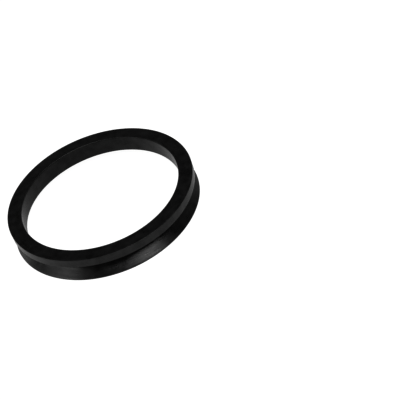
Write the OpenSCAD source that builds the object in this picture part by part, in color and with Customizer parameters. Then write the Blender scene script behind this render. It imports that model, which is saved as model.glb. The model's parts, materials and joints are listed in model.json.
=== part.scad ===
// V ring seal: an all-rubber shaft seal moulded in one piece. A thick body grips the shaft,
// and a thin conical lip, hinged to the body at the root of a V groove, runs against a flat face.
// The ring lies on its lip edge with the body's flat back face up. The origin is on the axis,
// at the plane that the lip edge rests on, and +Z runs along the axis towards the back face.

/* [Body] */
// Bore in the free state, before the ring is stretched over its shaft
bore_d = 67; // [50:0.5:120]
// Radial height of the body, from the bore to its outer wall
body_h = 6; // [5:0.1:8]
// Width of the body's cylindrical outer wall
wall_w = 3.6; // [2:0.1:5]
// Radius on the outer edges of the body
body_edge_r = 0.3; // [0.1:0.05:0.6]
// Radius of the lead-in at the back end of the bore
bore_edge_r = 0.5; // [0.2:0.1:1]

/* [Lip] */
// Overall width in the free state, from the back face to the lip edge
ring_w = 11; // [9.5:0.1:13]
// Radial height of the lip edge above the bore
lip_h = 6.2; // [5.5:0.05:8]
// Slope of the lip's front face against the plane of the ring, in degrees
lip_slope = 35; // [24:1:38]
// Thickness of the lip at its edge
lip_edge_t = 0.85; // [0.6:0.05:1.2]
// Radius on the two corners of the lip edge
lip_edge_r = 0.2; // [0.1:0.05:0.25]
// Radius where the bore runs out into the lip's front face
lip_foot_r = 0.4; // [0.2:0.1:1]

/* [Groove] */
// Radial height of the groove's root above the bore
groove_h = 1.7; // [1.2:0.1:2.5]
// Thickness of the hinge between the groove's root and the lip's front face
hinge_t = 1.8; // [1.2:0.1:2.4]
// Radius at the root of the groove
groove_root_r = 0.5; // [0.3:0.1:0.8]

/* [Hidden] */

arc_steps = 8;
ring_steps = 240;

bore_r = bore_d / 2;
body_r = bore_r + body_h;
lip_r = bore_r + lip_h;

// A square corner is drawn this much further out, so that once it is rounded the lip edge
// still reaches its full radius and the full width
lip_corner_loss = lip_edge_r * (sin(lip_slope) + cos(lip_slope) - 1);

// Corners of the section, as [radius, height], from the bore round the back to the lip's front face
back_inner = [bore_r, ring_w];
back_outer = [body_r, ring_w];
groove_edge = [body_r, ring_w - wall_w];
lip_back = [lip_r + lip_corner_loss, lip_edge_t * cos(lip_slope) - lip_corner_loss];
lip_front = lip_back - lip_edge_t * [sin(lip_slope), cos(lip_slope)];
lip_foot = [bore_r, lip_front.y + (lip_front.x - bore_r) * tan(lip_slope)];
groove_root = [
    bore_r + groove_h,
    lip_foot.y - groove_h * tan(lip_slope) + hinge_t / cos(lip_slope)
];

// Each corner of the section with the radius that rounds it
corners = [
    [back_inner, bore_edge_r],
    [back_outer, body_edge_r],
    [groove_edge, body_edge_r],
    [groove_root, groove_root_r],
    [lip_back, lip_edge_r],
    [lip_front, lip_edge_r],
    [lip_foot, lip_foot_r]
];

function unit(v) = v / norm(v);

// Points of the arc of radius r that rounds the corner at b on the way from a to c
function corner_arc(a, b, c, r) =
    let (
        to_a = unit(a - b),
        to_c = unit(c - b),
        half_angle = acos(to_a * to_c) / 2,
        centre = b + unit(to_a + to_c) * r / sin(half_angle),
        first = b + to_a * r / tan(half_angle) - centre,
        turn = (cross(to_a, to_c) < 0 ? 1 : -1) * (180 - 2 * half_angle)
    )
    [
        for (k = [0 : arc_steps])
            let (angle = atan2(first.y, first.x) + turn * k / arc_steps)
            centre + r * [cos(angle), sin(angle)]
    ];

// Section of the ring, with every corner rounded
module ring_section() {
    count = len(corners);
    polygon([
        for (k = [0 : count - 1])
            each corner_arc(
                corners[(k + count - 1) % count][0],
                corners[k][0],
                corners[(k + 1) % count][0],
                corners[k][1]
            )
    ]);
}

// The whole seal: body, hinge and lip in one piece of black nitrile rubber
module v_ring() {
    color([0.045, 0.045, 0.048])
        rotate_extrude($fn = ring_steps)
            ring_section();
}

v_ring();
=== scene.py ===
import json
import math

import bpy
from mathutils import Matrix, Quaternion, Vector


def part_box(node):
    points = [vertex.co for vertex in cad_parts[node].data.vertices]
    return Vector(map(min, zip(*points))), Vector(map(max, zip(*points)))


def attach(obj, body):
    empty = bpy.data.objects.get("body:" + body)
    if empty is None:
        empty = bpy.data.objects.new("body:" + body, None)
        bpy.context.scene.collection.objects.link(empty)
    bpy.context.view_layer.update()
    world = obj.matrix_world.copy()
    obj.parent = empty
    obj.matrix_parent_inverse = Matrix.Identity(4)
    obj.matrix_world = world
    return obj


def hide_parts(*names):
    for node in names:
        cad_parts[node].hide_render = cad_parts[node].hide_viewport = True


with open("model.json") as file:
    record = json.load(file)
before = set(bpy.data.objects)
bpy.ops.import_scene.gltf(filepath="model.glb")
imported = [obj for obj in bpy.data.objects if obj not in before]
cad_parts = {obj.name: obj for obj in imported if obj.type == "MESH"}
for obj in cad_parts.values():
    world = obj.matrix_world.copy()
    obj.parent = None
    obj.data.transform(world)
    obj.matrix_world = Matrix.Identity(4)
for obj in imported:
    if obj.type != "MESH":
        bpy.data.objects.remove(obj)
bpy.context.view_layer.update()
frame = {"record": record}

# V-ring: one piece of black nitrile rubber, pressed in a turned steel mould and trimmed by hand.
# The thick body grips the shaft, and the thin lip beyond the groove bends about its hinge.
# It lies on the edge of its lip, with the flat back of the body up.
MM = 0.001
shaft_bore = next(m for m in frame["record"]["mounts"] if m["name"] == "shaft_bore")
bore_radius = shaft_bore["dims"]["r_mm"] * MM
ring_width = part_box("v_ring")[1].z
body_height = 6.0 * MM
wall_width = 3.6 * MM
body_edge_radius = 0.15 * MM
bore_edge_radius = 0.35 * MM
lip_height = 6.2 * MM
lip_slope = math.radians(35)
lip_edge_thickness = 0.85 * MM
lip_edge_radius = 0.2 * MM
lip_foot_radius = 0.4 * MM
groove_height = 1.7 * MM
hinge_thickness = 1.8 * MM
groove_root_radius = 0.5 * MM

body_radius = bore_radius + body_height
lip_corner_loss = lip_edge_radius * (math.sin(lip_slope) + math.cos(lip_slope) - 1)
lip_back = Vector((
    bore_radius + lip_height + lip_corner_loss,
    lip_edge_thickness * math.cos(lip_slope) - lip_corner_loss,
))
lip_front = lip_back - lip_edge_thickness * Vector((math.sin(lip_slope), math.cos(lip_slope)))
lip_foot = Vector((bore_radius, lip_front.y + (lip_front.x - bore_radius) * math.tan(lip_slope)))
groove_root = Vector((
    bore_radius + groove_height,
    lip_foot.y - groove_height * math.tan(lip_slope) + hinge_thickness / math.cos(lip_slope),
))
section_corners = [
    # corner as radius and height, and the radius that rounds it
    (Vector((bore_radius, ring_width)), bore_edge_radius),
    (Vector((body_radius, ring_width)), body_edge_radius),
    (Vector((body_radius, ring_width - wall_width)), body_edge_radius),
    (groove_root, groove_root_radius),
    (lip_back, lip_edge_radius),
    (lip_front, lip_edge_radius),
    (lip_foot, lip_foot_radius),
]
longest_flank_edge = 0.8 * MM
steps_round_ring = 600

out_of_round = 0.06 * MM
longest_across = 0.55
lip_wave = 0.08 * MM
lip_wave_mean = 0.5
lip_ripples = [
    # waves round the ring, share of the lip wave, start in radians
    (5, 0.3, 0.8),
    (11, 0.2, 2.1),
]


def corner_arc(before, corner, after, radius, steps=8):
    """Points of the arc that rounds a corner of the section on the way from before to after."""
    to_before = (before - corner).normalized()
    to_after = (after - corner).normalized()
    half_angle = to_before.angle(to_after) / 2
    centre = corner + (to_before + to_after).normalized() * radius / math.sin(half_angle)
    first = corner + to_before * radius / math.tan(half_angle) - centre
    start = math.atan2(first.y, first.x)
    turn = math.pi - 2 * half_angle
    if to_before.cross(to_after) > 0:
        turn = -turn
    angles = [start + turn * step / steps for step in range(steps + 1)]
    return [centre + radius * Vector((math.cos(a), math.sin(a))) for a in angles]


def section_outline(corners, longest_edge):
    """Outline of the section, with its corners rounded and its flanks cut into short edges."""
    count = len(corners)
    rounded = []
    for index, (corner, radius) in enumerate(corners):
        before = corners[index - 1][0]
        after = corners[(index + 1) % count][0]
        rounded += corner_arc(before, corner, after, radius)
    outline = []
    for start, end in zip(rounded, rounded[1:] + rounded[:1]):
        cuts = max(1, math.ceil((end - start).length / longest_edge))
        outline += [start.lerp(end, cut / cuts) for cut in range(cuts)]
    return outline


def rubber_point(point, angle):
    """Place of a point of the section at an angle, on a soft ring that is slightly oval.

    The lip also waves, from nothing at the root of the groove to its full height at the edge.
    """
    lip_share = min(1, max(0, (groove_root.y - point.y) / groove_root.y)) ** 2
    ripple = lip_wave_mean
    for waves, share, start in lip_ripples:
        ripple += share * math.sin(waves * angle + start)
    radius = point.x + out_of_round * math.cos(2 * (angle - longest_across))
    height = point.y + lip_wave * lip_share * ripple
    return (radius * math.cos(angle), radius * math.sin(angle), height)


def revolve(name, outline, segments):
    """Mesh of the outline turned about the Z axis."""
    points = []
    for segment in range(segments):
        angle = math.tau * segment / segments
        points += [rubber_point(p, angle) for p in outline]
    count = len(outline)
    faces = []
    for segment in range(segments):
        here = segment * count
        there = (segment + 1) % segments * count
        for index in range(count):
            after = (index + 1) % count
            faces.append((here + index, here + after, there + after, there + index))
    mesh = bpy.data.meshes.new(name)
    mesh.from_pydata(points, [], faces)
    mesh.validate()
    mesh.update()
    for polygon in mesh.polygons:
        polygon.use_smooth = True
    piece = bpy.data.objects.new(name, mesh)
    bpy.context.scene.collection.objects.link(piece)
    return piece


rubber_ior = 1.62
clean_colour = (0.0030, 0.0030, 0.0031, 1)
bloomed_colour = (0.0100, 0.0100, 0.0101, 1)
mean_colour = (0.006, 0.006, 0.0061, 1)
clean_until = 0.32
bloomed_from = 0.72
clean_gloss = 0.43
bloomed_gloss = 0.57
mean_gloss = 0.5
bore_gloss_share = 0.66
bore_skin_depth = 0.2 * MM
clean_roughness = 0.26
bloomed_roughness = 0.33
mean_roughness = 0.3
mark_roughness_least = -0.02
mark_roughness_most = 0.05
bloom_per_metre = 300
bloom_detail = 5
grain_per_metre = 5200
grain_detail = 2
grain_share = 0.12
marks_per_metre = 900.0
marks_round_ring = 4.0
marks_detail = 3
relief_strength = 1.0
relief_depth = 0.04 * MM


def black_rubber():
    """Satin black rubber, with a patchy bloom, a fine grain and rings from the turned mould."""
    material = bpy.data.materials.new("moulded_rubber")
    material.use_nodes = True
    nodes = material.node_tree.nodes
    links = material.node_tree.links
    surface = nodes["Principled BSDF"]
    surface.inputs["IOR"].default_value = rubber_ior

    def noise(name, vector, detail, scale=1.0):
        texture = nodes.new("ShaderNodeTexNoise")
        texture.name = name
        texture.inputs["Scale"].default_value = scale
        texture.inputs["Detail"].default_value = detail
        links.new(vector, texture.inputs["Vector"])
        return texture.outputs["Fac"]

    def math_node(operation, first, second):
        node = nodes.new("ShaderNodeMath")
        node.operation = operation
        for socket, value in zip(node.inputs, (first, second)):
            if isinstance(value, (int, float)):
                socket.default_value = value
            else:
                links.new(value, socket)
        return node.outputs["Value"]

    def spread(value, low, high, from_low=0.3, from_high=0.7):
        # A noise lies mostly between 0.3 and 0.7
        node = nodes.new("ShaderNodeMapRange")
        node.inputs["From Min"].default_value = from_low
        node.inputs["From Max"].default_value = from_high
        node.inputs["To Min"].default_value = low
        node.inputs["To Max"].default_value = high
        links.new(value, node.inputs["Value"])
        return node.outputs["Result"]

    def vary(socket, mean, pattern):
        # The mean stays for a viewer that can't read the pattern
        surface.inputs[socket].default_value = mean
        links.new(pattern, surface.inputs[socket])

    place = nodes.new("ShaderNodeTexCoord").outputs["Object"]
    place_split = nodes.new("ShaderNodeSeparateXYZ")
    links.new(place, place_split.inputs["Vector"])
    across = nodes.new("ShaderNodeCombineXYZ")
    links.new(place_split.outputs["X"], across.inputs["X"])
    links.new(place_split.outputs["Y"], across.inputs["Y"])
    radius = nodes.new("ShaderNodeVectorMath")
    radius.operation = "LENGTH"
    links.new(across.outputs["Vector"], radius.inputs[0])
    outward = nodes.new("ShaderNodeVectorMath")
    outward.operation = "NORMALIZE"
    links.new(across.outputs["Vector"], outward.inputs[0])
    outward_split = nodes.new("ShaderNodeSeparateXYZ")
    links.new(outward.outputs["Vector"], outward_split.inputs["Vector"])
    along_section = math_node("SUBTRACT", radius.outputs["Value"], place_split.outputs["Z"])
    turned = nodes.new("ShaderNodeCombineXYZ")
    for axis in ("X", "Y"):
        round_ring = math_node("MULTIPLY", outward_split.outputs[axis], marks_round_ring)
        links.new(round_ring, turned.inputs[axis])
    links.new(math_node("MULTIPLY", along_section, marks_per_metre), turned.inputs["Z"])

    bloom = noise("bloom", place, bloom_detail, bloom_per_metre)
    grain = noise("grain", place, grain_detail, grain_per_metre)
    marks = noise("turning_marks", turned.outputs["Vector"], marks_detail)

    bloom_tone = nodes.new("ShaderNodeValToRGB")
    clean_end, bloomed_end = bloom_tone.color_ramp.elements
    clean_end.position = clean_until
    clean_end.color = clean_colour
    bloomed_end.position = bloomed_from
    bloomed_end.color = bloomed_colour
    links.new(bloom, bloom_tone.inputs["Fac"])
    vary("Base Color", mean_colour, bloom_tone.outputs["Color"])

    skin_end = bore_radius + bore_skin_depth
    bore_dulling = spread(radius.outputs["Value"], bore_gloss_share, 1.0, bore_radius, skin_end)
    bloom_gloss = spread(bloom, clean_gloss, bloomed_gloss)
    vary("Specular IOR Level", mean_gloss, math_node("MULTIPLY", bloom_gloss, bore_dulling))

    bloom_roughness = spread(bloom, clean_roughness, bloomed_roughness)
    mark_roughness = spread(marks, mark_roughness_least, mark_roughness_most)
    vary("Roughness", mean_roughness, math_node("ADD", bloom_roughness, mark_roughness))

    bump = nodes.new("ShaderNodeBump")
    bump.inputs["Strength"].default_value = relief_strength
    bump.inputs["Distance"].default_value = relief_depth
    grain_relief = math_node("MULTIPLY", grain, grain_share)
    links.new(math_node("ADD", marks, grain_relief), bump.inputs["Height"])
    links.new(bump.outputs["Normal"], surface.inputs["Normal"])
    return material


v_ring_outline = section_outline(section_corners, longest_flank_edge)
v_ring = revolve("v_ring_rubber", v_ring_outline, steps_round_ring)
v_ring.data.materials.append(black_rubber())
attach(v_ring, "root")
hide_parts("v_ring")

# Floor: a wide table top of white opal sheet that the ring lies on. It is lit evenly from below,
# so it stays white right up to the ring and shows in its walls. It isn't part of the ring.
floor_half_side = 3.0
floor_corners = [(-1, -1), (1, -1), (1, 1), (-1, 1)]
sheet_colour = (0.07, 0.07, 0.07, 1)
sheet_roughness = 0.9
sheet_glow = (1, 1, 1, 1)
sheet_glow_strength = 0.98

floor_mesh = bpy.data.meshes.new("floor")
floor_mesh.from_pydata(
    [(x * floor_half_side, y * floor_half_side, 0) for x, y in floor_corners],
    [],
    [(0, 1, 2, 3)],
)
floor = bpy.data.objects.new("floor", floor_mesh)
bpy.context.scene.collection.objects.link(floor)
opal_sheet = bpy.data.materials.new("opal_sheet")
opal_sheet.use_nodes = True
sheet_surface = opal_sheet.node_tree.nodes["Principled BSDF"]
sheet_surface.inputs["Base Color"].default_value = sheet_colour
sheet_surface.inputs["Roughness"].default_value = sheet_roughness
sheet_surface.inputs["Emission Color"].default_value = sheet_glow
sheet_surface.inputs["Emission Strength"].default_value = sheet_glow_strength
floor.data.materials.append(opal_sheet)

# Studio light: soft boxes of white cloth on stands round the ring, in a room with pale low walls.
# The ones at the left and in front make the long highlights on the lip. The ones above, at the
# right and behind show the ring's form from its other sides, and the high walls stay dark.
lamp_distance = 0.9
softboxes = [
    # name, azimuth, elevation and roll in degrees, width and height in metres, power in watts
    ("left_softbox", 189, 30, 30, 0.60, 0.36, 1.15),
    ("left_core_softbox", 197, 35, 30, 0.28, 0.28, 0.42),
    ("left_low_softbox", 145, 7, 20, 0.30, 0.20, 0.26),
    ("front_softbox", 262, 66, 0, 0.36, 0.30, 1.9),
    ("right_front_softbox", 301, 54, 0, 0.38, 0.36, 2.35),
    ("overhead_softbox", 90, 89, 0, 0.60, 0.60, 2.0),
    ("right_softbox", 15, 58, 0, 0.40, 0.40, 0.7),
    ("back_right_softbox", 52, 64, 0, 0.40, 0.40, 0.45),
    ("back_left_softbox", 138, 62, 0, 0.40, 0.40, 0.7),
]
wall_tones = [
    # sine of the angle above the floor, colour
    (0.06, (0.85, 0.85, 0.85, 1)),
    (0.63, (0.11, 0.11, 0.11, 1)),
]
picture_gamma = 0.588


def softbox(name, azimuth, elevation, roll, width, height, power):
    """A soft box that stands off the ring in the given direction and faces it."""
    flat = math.cos(math.radians(elevation))
    direction = Vector((
        flat * math.cos(math.radians(azimuth)),
        flat * math.sin(math.radians(azimuth)),
        math.sin(math.radians(elevation)),
    ))
    lamp_data = bpy.data.lights.new(name, "AREA")
    lamp_data.shape = "RECTANGLE"
    lamp_data.size = width
    lamp_data.size_y = height
    lamp_data.energy = power
    lamp = bpy.data.objects.new(name, lamp_data)
    lamp.location = direction * lamp_distance
    lamp.rotation_mode = "QUATERNION"
    lamp.rotation_quaternion = (
        (-direction).to_track_quat("-Z", "Y") @ Quaternion((0, 0, 1), math.radians(roll))
    )
    bpy.context.scene.collection.objects.link(lamp)


for box in softboxes:
    softbox(*box)

room = bpy.data.worlds.new("room")
bpy.context.scene.world = room
room.use_nodes = True
room_nodes = room.node_tree.nodes
room_links = room.node_tree.links
outlook = room_nodes.new("ShaderNodeTexCoord")
outlook_split = room_nodes.new("ShaderNodeSeparateXYZ")
walls = room_nodes.new("ShaderNodeValToRGB")
for end, (height, colour) in zip(walls.color_ramp.elements, wall_tones):
    end.position = height
    end.color = colour
room_links.new(outlook.outputs["Generated"], outlook_split.inputs["Vector"])
room_links.new(outlook_split.outputs["Z"], walls.inputs["Fac"])
room_links.new(walls.outputs["Color"], room_nodes["Background"].inputs["Color"])
bpy.context.scene.view_settings.view_transform = "Standard"
bpy.context.scene.view_settings.gamma = picture_gamma

# Camera: it looks down on the ring from the front, and is rolled so that the ring rises to the right.
# The middle of the ring's back face lies at ring_pixel, in the left half of a square picture.
picture_side = 400
focal_length_px = 1200
ring_pixel = Vector((99.1, 190.95))
camera_distance = 490.9 * MM
camera_elevation = math.radians(37.44)
camera_roll = math.radians(-23.16)
film_width = 36
nearest_seen = 10 * MM

back_centre = Vector((0, 0, ring_width))
look = Vector((0, math.cos(camera_elevation), -math.sin(camera_elevation)))
ray = Vector((
    ring_pixel.x - picture_side / 2,
    picture_side / 2 - ring_pixel.y,
    -focal_length_px,
))
camera_data = bpy.data.cameras.new("camera")
camera_data.sensor_width = film_width
camera_data.lens = film_width * focal_length_px / picture_side
camera_data.clip_start = nearest_seen
camera = bpy.data.objects.new("camera", camera_data)
camera.rotation_mode = "QUATERNION"
camera.location = back_centre - look * camera_distance
camera.rotation_quaternion = (
    look.to_track_quat("-Z", "Y")
    @ Quaternion((0, 0, 1), camera_roll)
    @ Vector((0, 0, -1)).rotation_difference(ray).inverted()
)
bpy.context.scene.collection.objects.link(camera)
bpy.context.scene.camera = camera
